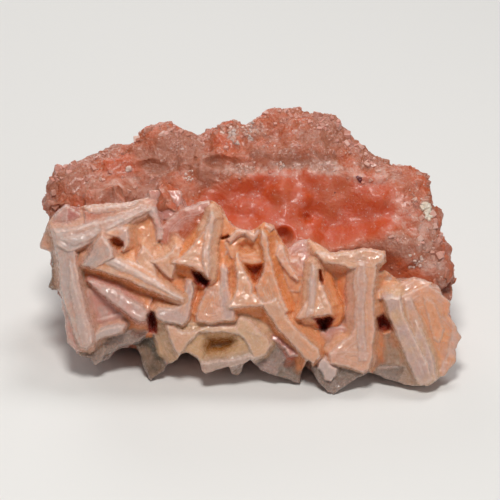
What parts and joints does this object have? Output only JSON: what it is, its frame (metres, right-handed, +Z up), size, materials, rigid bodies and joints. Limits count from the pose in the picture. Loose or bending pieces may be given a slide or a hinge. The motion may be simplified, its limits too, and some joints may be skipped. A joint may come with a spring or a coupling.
{
  "type": "halite specimen",
  "caption": "Cluster of pink hopper halite: a granular salt mound with skeletal cube crystals on its front, resting on a flat cut base.",
  "frame": {"origin": "middle of the bounding box on the plane of the flat base, z = 0", "axes": "+X along the specimen's length to the viewer's right, +Y away from the crystal-covered front, +Z up"},
  "size_m": [0.102, 0.0628, 0.0517],
  "materials": {
    "pink_halite": "translucent waxy pink to orange crystal, whitish ridges, granular salmon crust"
  },
  "bodies": {
    "root": {"halite_cluster": "pink_halite"}
  },
  "joints": []
}
